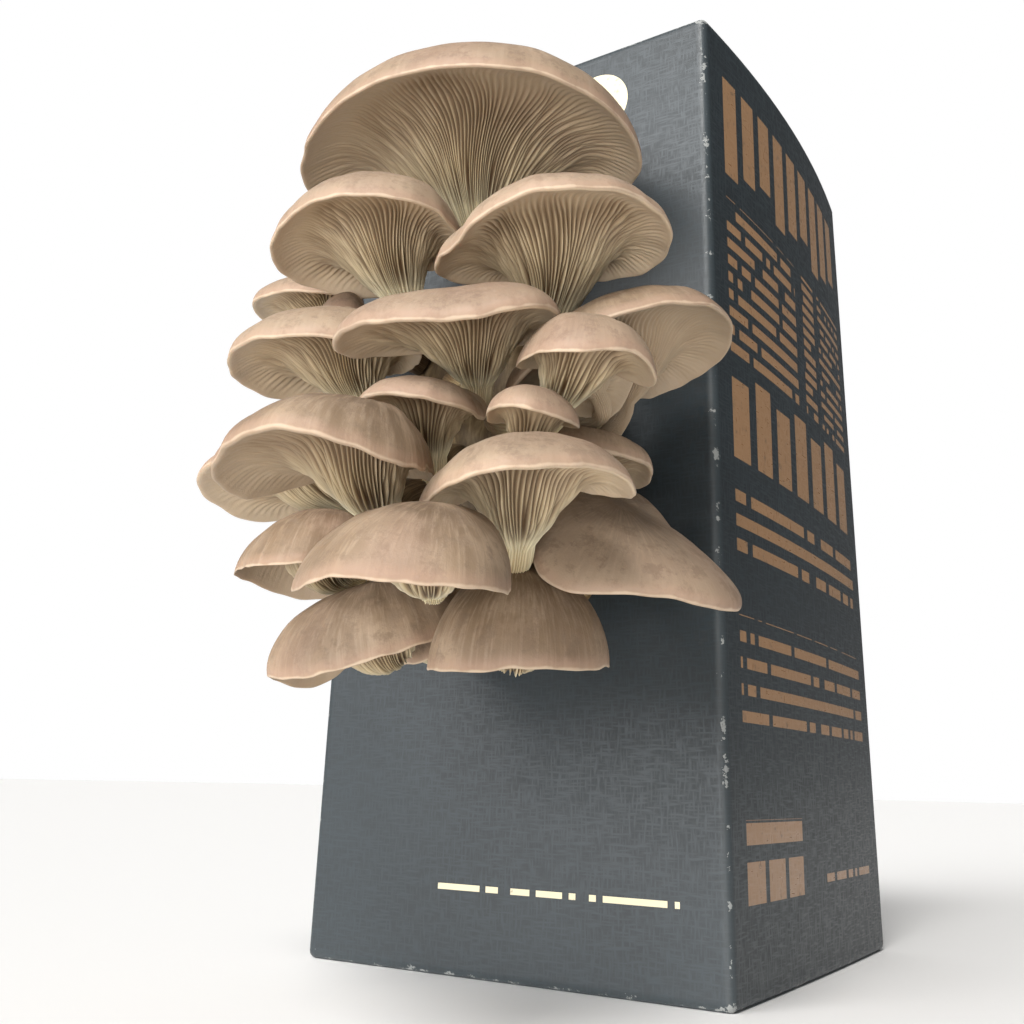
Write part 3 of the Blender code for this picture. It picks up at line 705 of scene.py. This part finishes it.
def gillRelief(cap, path, column, around, chance):
    # 1 on the edge of a gill and 0 on the floor between two, with shorter gills between longer ones
    share = np.maximum(path - 1.0, 0.0)
    reach = cap["size"]
    stem = cap["spec"]["stem"]
    radius = np.where(share < 1.0, stem + (reach - stem) * (1.0 - share), stem)
    step = math.tau * radius / around
    relief = np.zeros(len(path))
    for period, offset, end, spread in ((16, 0, 1.75, 0.35), (16, 8, 1.55, 0.35), (8, 4, 0.86, 0.16)):
        local = (column - offset + period // 2) % period - period // 2
        number = ((column - offset + period // 2) // period) % (around // period)
        ends = end + spread * chance.uniform(-1.0, 1.0, around // period)
        heights = chance.uniform(0.6, 1.0, around // period)
        ripple = 0.86 + 0.14 * np.sin(share * chance.uniform(14.0, 34.0, around // period)[number] + 5.0 * ends[number])
        fade = 1.0 - ease(-0.10, 0.06, share - ends[number])
        width = np.minimum(gills["thickness"], 0.28 * step * np.where(share > 0.9, 8, 4))
        relief = np.maximum(relief, ripple * heights[number] * fade * np.exp(-(local * step / width) ** 2))
    return relief


def makeMushroom(node, spec, material, seed):
    chance = np.random.default_rng(seed)
    cap = capSetting(spec, chance)
    around = 16 * max(round(math.tau * cap["size"] / gills["spacing"] / 4.0), 8)
    paths = [0.0] + ringPaths(cap) + [3.0]
    bands = len(paths) - 1
    bm = bmesh.new()
    bmesh.ops.create_uvsphere(bm, u_segments=around, v_segments=bands, radius=1.0)
    mesh = meshFrom(bm, node.replace("mushroom_", "oyster_"))
    co = np.empty(len(mesh.vertices) * 3)
    mesh.vertices.foreach_get("co", co)
    co = co.reshape(-1, 3)
    ring = np.rint(np.arccos(np.clip(co[:, 2], -1.0, 1.0)) / math.pi * bands).astype(int)
    column = np.rint(np.arctan2(co[:, 1], co[:, 0]) / math.tau * around).astype(int) % around
    path = np.asarray(paths)[ring]
    share = np.clip(path - 1.0, 0.0, 2.0)
    angle = column * math.tau / around
    wander = 0.035 * np.sin(3 * angle + 9 * share + chance.uniform(0, 6)) + 0.012 * np.sin(11 * angle - 6 * share + chance.uniform(0, 6))
    jitter = 2.4 / around * (np.sin(angle * around / 37.0 + 6.0 * share) + np.sin(angle * around / 23.0 + 2.0 - 9.0 * share))
    turned = angle + (wander + jitter) * ease(0.02, 0.3, share)
    point = surfaceAt(cap, path, turned)

    # gills stand out of the underside along its own normal
    below = path > 1.0
    ahead = surfaceAt(cap, np.minimum(path + 0.004, 3.0), turned)
    behind = surfaceAt(cap, np.maximum(path - 0.004, 1.0001 * below), turned)
    beside = surfaceAt(cap, path, turned + 0.01)
    normal = unit(np.cross(ahead - behind, beside - point))
    relief = gillRelief(cap, path, column, around, chance)
    inset = share * (cap["size"] - spec["stem"])
    size = min(1.0, 0.45 + cap["size"] / 45.0)
    patchy = 1.0 + 0.22 * np.sin(4.0 * angle + chance.uniform(0, 6)) + 0.15 * np.sin(9.0 * angle + chance.uniform(0, 6))
    rise = gills["rise"] * (cap["size"] - spec["stem"]) * patchy
    depth = gills["depth"] * size * (0.12 + 0.88 * ease(0.0, 1.0, (inset - gills["plainMargin"]) / rise))
    depth = depth * ease(0.5, 2.0, inset) * (0.45 if "plainTo" in spec else 1.0)
    depth = depth * (1.0 - 0.62 * ease(0.72, 1.0, share)) * (1.0 - 0.75 * ease(1.05, 1.7, share))
    depth = depth * (1.0 - ease(1.75, 1.98, share))
    facing = np.sign((normal[below] * cap["up"]).sum() or 1.0)
    normal = normal * (-facing)
    point[below] += normal[below] * ((relief - 0.65) * depth)[below, None]
    mesh.vertices.foreach_set("co", (point * mm).ravel())
    mesh.update()

    # painted shade: gillValleyShade darkens the floors between the gills, more so towards the stem
    gillValleyShade = (1.0 - relief) * ease(0.0, 0.9, depth / (gills["depth"] * size) + 0.25 * ease(0.8, 1.1, share))
    fromRim = np.linalg.norm(point - surfaceAt(cap, np.ones(len(path)), turned), axis=1)
    tone = np.full(len(path), spec["tone"])
    gillValleyShade = np.where(below, gillValleyShade, 0.0)
    colourPath = np.minimum(path, spec.get("plainTo", 3.0))
    for name, values in (("path", colourPath), ("gillValleyShade", gillValleyShade), ("tone", tone), ("fromRim", fromRim)):
        layer = mesh.attributes.new(name, "FLOAT", "POINT")
        layer.data.foreach_set("value", values.astype(np.float32))
    grain = mesh.attributes.new("grain", "FLOAT_VECTOR", "POINT")
    flow = np.stack((np.cos(angle), np.sin(angle), path), axis=1) + chance.uniform(0.0, 20.0)
    grain.data.foreach_set("vector", flow.astype(np.float32).ravel())
    addPiece(mesh.name, mesh, [material], [node])
    return len(mesh.polygons) * 2


def oysterFlesh():
    material, tree, shader = startMaterial("oysterFlesh", 0.55)
    position = objectPlace(tree)
    path = readAttribute(tree, "path").outputs["Fac"]
    gillValleyShade = readAttribute(tree, "gillValleyShade").outputs["Fac"]
    tone = readAttribute(tree, "tone").outputs["Fac"]
    fromRim = readAttribute(tree, "fromRim").outputs["Fac"]
    grain = readAttribute(tree, "grain").outputs["Vector"]

    # skin of the cap: paler and pinkish towards the rim, brown in the middle, with streaks and mottling
    pale = ramp(tree, path, (
        (0.0, fromSrgb(126, 108, 91)), (0.6, fromSrgb(143, 124, 105)), (1.0, fromSrgb(163, 143, 122))))
    brown = ramp(tree, path, (
        (0.0, fromSrgb(88, 71, 55)), (0.6, fromSrgb(107, 88, 69)), (1.0, fromSrgb(134, 113, 91))))
    skin = blend(tree, tone, pale, brown)
    streaks = speckle(tree, grain, 9.0, 4.0, 0.62, (2.4, 2.4, 0.55))
    mottles = speckle(tree, position, 300.0, 5.0, 0.7)
    blotches = speckle(tree, position, 150.0, 4.0, 0.6)
    clouds = speckle(tree, position, 38.0, 2.0, 0.5)
    skin = blend(tree, between(tree, streaks, 0.42, 0.72, 0.0, 0.45), skin, fromSrgb(172, 152, 130))
    skin = blend(tree, between(tree, blotches, 0.45, 0.66, 0.0, 0.45), skin, fromSrgb(180, 158, 134))
    skin = blend(tree, between(tree, mottles, 0.46, 0.66, 0.0, 0.45), skin, fromSrgb(98, 80, 66))
    skin = blend(tree, between(tree, clouds, 0.45, 0.7, 0.0, 0.4), skin, fromSrgb(132, 104, 90))

    rim = calc(tree, "MULTIPLY_ADD", speckle(tree, position, 350.0, 2.0), 0.9, fromRim)
    skin = blend(tree, between(tree, rim, 3.2, 1.0, 0.0, 0.45), skin, fromSrgb(172, 142, 122))
    skin = blend(tree, between(tree, rim, 0.85, 0.45, 0.0, 0.6), skin, fromSrgb(206, 186, 162))

    # gills: cream edges, creamier towards the stem; the brown floors between the gills are painted shade, and the
    # darkening of edges and floors towards the stem's foot is painted shade deep in the cluster
    along = calc(tree, "MULTIPLY", calc(tree, "SUBTRACT", path, 1.0), 0.5)
    edge = ramp(tree, along, (
        (0.0, fromSrgb(190, 170, 146)), (0.03, fromSrgb(204, 184, 158)), (0.25, fromSrgb(206, 184, 152)),
        (0.38, fromSrgb(232, 212, 174)), (0.47, fromSrgb(254, 246, 212)), (0.62, fromSrgb(240, 224, 180)),
        (0.78, fromSrgb(120, 98, 68)), (1.0, fromSrgb(84, 66, 44))))
    # painted shade: the floor colours between the gills, darkest near the stem and at the stem's foot
    floor = ramp(tree, along, (
        (0.0, fromSrgb(190, 170, 146)), (0.12, fromSrgb(150, 126, 98)), (0.26, fromSrgb(88, 66, 42)),
        (0.44, fromSrgb(78, 56, 34)), (0.52, fromSrgb(160, 134, 94)), (0.64, fromSrgb(150, 128, 90)),
        (0.8, fromSrgb(84, 66, 44)), (1.0, fromSrgb(62, 48, 32))))
    drift = speckle(tree, grain, 5.0, 3.0, 0.55, (3.0, 3.0, 1.0))
    edge = blend(tree, between(tree, drift, 0.4, 0.7, 0.0, 0.35), edge, fromSrgb(200, 178, 146))
    gill = blend(tree, gillValleyShade, edge, floor)
    fibres = speckle(tree, grain, 30.0, 3.0, 0.6, (3.0, 3.0, 0.4))
    gill = blend(tree, between(tree, fibres, 0.5, 0.8, 0.0, 0.25), gill, fromSrgb(170, 146, 112))
    dim = calc(tree, "MULTIPLY", tone, between(tree, path, 1.75, 1.45, 0.0, 0.5))
    gill = blend(tree, dim, gill, fromSrgb(122, 102, 84))
    below = between(tree, path, 0.996, 1.012)
    colour = blend(tree, below, skin, gill)
    tree.links.new(colour, shader.inputs["Base Color"])
    relief = calc(tree, "ADD", calc(tree, "MULTIPLY", streaks, 0.6), mottles)
    fineGrain = bump(tree, relief, 0.25 * mm, 0.5)
    tree.links.new(fineGrain, shader.inputs["Normal"])
    rough = between(tree, mottles, 0.35, 0.7, 0.5, 0.68)
    tree.links.new(rough, shader.inputs["Roughness"])
    shader.inputs["Specular IOR Level"].default_value = 0.32
    shader.inputs["Subsurface Weight"].default_value = 0.12
    shader.inputs["Subsurface Radius"].default_value = (1.0, 0.6, 0.35)
    shader.inputs["Subsurface Scale"].default_value = 2.0 * mm
    return material


flesh = oysterFlesh()
triangles = 0
for number, (node, spec) in enumerate(mushrooms.items()):
    triangles += makeMushroom(node, spec, flesh, 40 + number)
print("mushrooms done:", triangles, "triangles")


studio = {
    "floor": (0.97, 0.97, 0.968), "ambient": 0.29, "rightAmbient": 0.06, "window": 6.5,
    "keyPower": 2.5, "keySize": 22.0, "keyTurn": 14.0, "keyHeight": 48.0,
    "bouncePower": 1.6, "bounceSize": 40.0, "bounceTurn": 20.0, "bounceHeight": -20.0,
}


def makeFloor():
    bm = bmesh.new()
    bmesh.ops.create_grid(bm, x_segments=1, y_segments=1, size=6.0)
    mesh = meshFrom(bm, "floor")
    floor = bpy.data.objects.new("floor", mesh)
    bpy.context.scene.collection.objects.link(floor)
    material, tree, shader = startMaterial("paleFloor", 0.6)
    shader.inputs["Base Color"].default_value = (*studio["floor"], 1.0)
    mesh.materials.append(material)
    floor.visible_shadow = False  # lets the low front light through, as a white card beside the camera would


def distantLight(name, power, size, turn, height, colour):
    light = bpy.data.lights.new(name, "SUN")
    light.energy = power
    light.angle = math.radians(size)
    light.color = colour
    lamp = bpy.data.objects.new(name, light)
    bpy.context.scene.collection.objects.link(lamp)
    turn, height = math.radians(turn), math.radians(height)
    source = Vector((math.sin(turn) * math.cos(height), -math.cos(turn) * math.cos(height), math.sin(height)))
    lamp.location = source
    lamp.rotation_euler = (-source).to_track_quat("-Z", "Y").to_euler()


def makeSky():
    # a plain white room to look at, which lights the object dimly, and a soft window high in front of it
    world = bpy.data.worlds.new("studio")
    bpy.context.scene.world = world
    world.use_nodes = True
    tree = world.node_tree
    direction = tree.nodes.new("ShaderNodeTexCoord").outputs["Generated"]

    def nearness(x, y, z):
        node = tree.nodes.new("ShaderNodeVectorMath")
        node.operation = "DOT_PRODUCT"
        tree.links.new(direction, node.inputs[0])
        node.inputs[1].default_value = Vector((x, y, z)).normalized()
        return node.outputs["Value"]

    ambient = between(tree, nearness(1.0, 0.0, 0.0), -0.2, 0.7, studio["ambient"], studio["rightAmbient"])
    window = between(tree, nearness(-0.27, -0.90, 0.36), 0.90, 0.965, 0.0, studio["window"])
    tree.nodes["Background"].inputs["Color"].default_value = (1.0, 1.0, 1.0, 1.0)
    seen = tree.nodes.new("ShaderNodeLightPath").outputs["Is Camera Ray"]
    strength = calc(tree, "MAXIMUM", calc(tree, "ADD", ambient, window), seen)
    tree.links.new(strength, tree.nodes["Background"].inputs["Strength"])


def makeCamera():
    camera = bpy.data.cameras.new("camera")
    holder = bpy.data.objects.new("camera", camera)
    bpy.context.scene.collection.objects.link(holder)
    bpy.context.scene.camera = holder
    right = Vector((0.853768, 0.520172, 0.022394))
    up = Vector((0.141916, -0.273883, 0.951235))
    ahead = Vector((-0.500939, 0.808956, 0.307653))
    eye = Vector((0.1279, -0.2463, 0.0375))
    holder.matrix_world = Matrix((
        (right.x, up.x, -ahead.x, eye.x), (right.y, up.y, -ahead.y, eye.y), (right.z, up.z, -ahead.z, eye.z),
        (0.0, 0.0, 0.0, 1.0)))
    camera.sensor_width = 36.0
    camera.lens = 36.0 * 1066.6 / 1024.0
    camera.shift_x = (512.0 - 537.7) / 1024.0
    camera.shift_y = (439.8 - 512.0) / 1024.0
    camera.clip_start = 0.01


makeFloor()
makeSky()
for lamp, tint in (("key", (1.0, 0.975, 0.94)), ("bounce", (1.0, 0.985, 0.96))):
    distantLight(lamp + "Light", *(studio[lamp + word] for word in ("Power", "Size", "Turn", "Height")), tint)
makeCamera()
bpy.context.scene.view_settings.view_transform = "Standard"
print("studio done")
